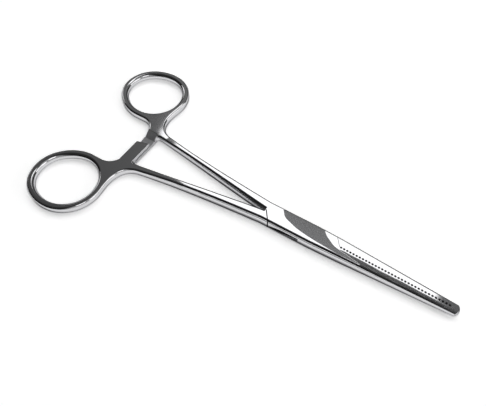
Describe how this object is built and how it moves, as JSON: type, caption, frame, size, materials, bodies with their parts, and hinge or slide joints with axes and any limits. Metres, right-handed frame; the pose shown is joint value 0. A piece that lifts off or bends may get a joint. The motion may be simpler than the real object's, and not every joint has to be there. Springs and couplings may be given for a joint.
{
  "type": "hemostat forceps",
  "caption": "Straight locking haemostatic forceps with finger rings, a ratchet, a box-lock hinge and cross-serrated jaws, closed.",
  "frame": {"origin": "on the hinge pin's axis, in the flat underside of the box", "axes": "+X along the instrument to the jaw tip, +Y towards the finger ring of the box half, +Z along the hinge pin, up from the flat the instrument lies on"},
  "size_m": [0.16, 0.0832, 0.005],
  "materials": {
    "polished_steel": "mirror-polished stainless steel, bare metal",
    "pin_steel": "stainless steel rivet, ground and polished flush with the box"
  },
  "bodies": {
    "box_half": {"box_half": "polished_steel", "hinge_pin": "pin_steel"},
    "tenon_half": {"tenon_half": "polished_steel"}
  },
  "joints": [
    {"name": "box_lock", "type": "hinge", "parent": "box_half", "child": "tenon_half", "pos_m": [0, 0, 0], "axis": [0, 0, 1], "range_deg": [0, 40]}
  ]
}
